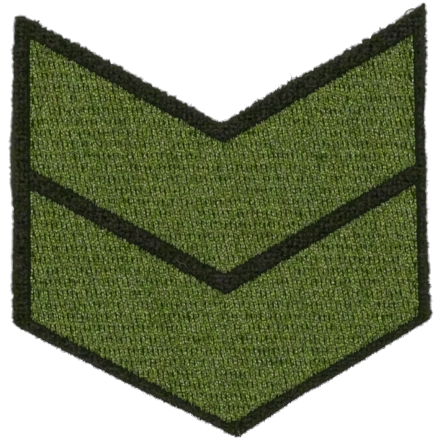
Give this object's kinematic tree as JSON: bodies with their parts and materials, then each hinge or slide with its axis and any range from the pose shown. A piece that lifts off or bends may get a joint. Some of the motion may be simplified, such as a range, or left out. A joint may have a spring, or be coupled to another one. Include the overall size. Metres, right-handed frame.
{
  "type": "length of service patch",
  "caption": "Flat sew-on cloth patch with olive embroidered chevrons, one under the other, on dark ground cloth, worn on a sleeve to show length of service.",
  "frame": {"origin": "under the middle of the cut outline, on the sewn side", "axes": "+Z out of the stitched face, -Y towards the point of the chevrons, +X to the right as the patch is read"},
  "size_m": [0.0736, 0.0758, 0.0015],
  "materials": {
    "ground_cloth": "matt heavy woven cloth with a short nap",
    "embroidery_thread": "twisted embroidery thread with a soft sheen"
  },
  "bodies": {
    "root": {"ground_cloth": "ground_cloth", "upper_chevron": "embroidery_thread", "lower_chevron": "embroidery_thread"}
  },
  "joints": []
}
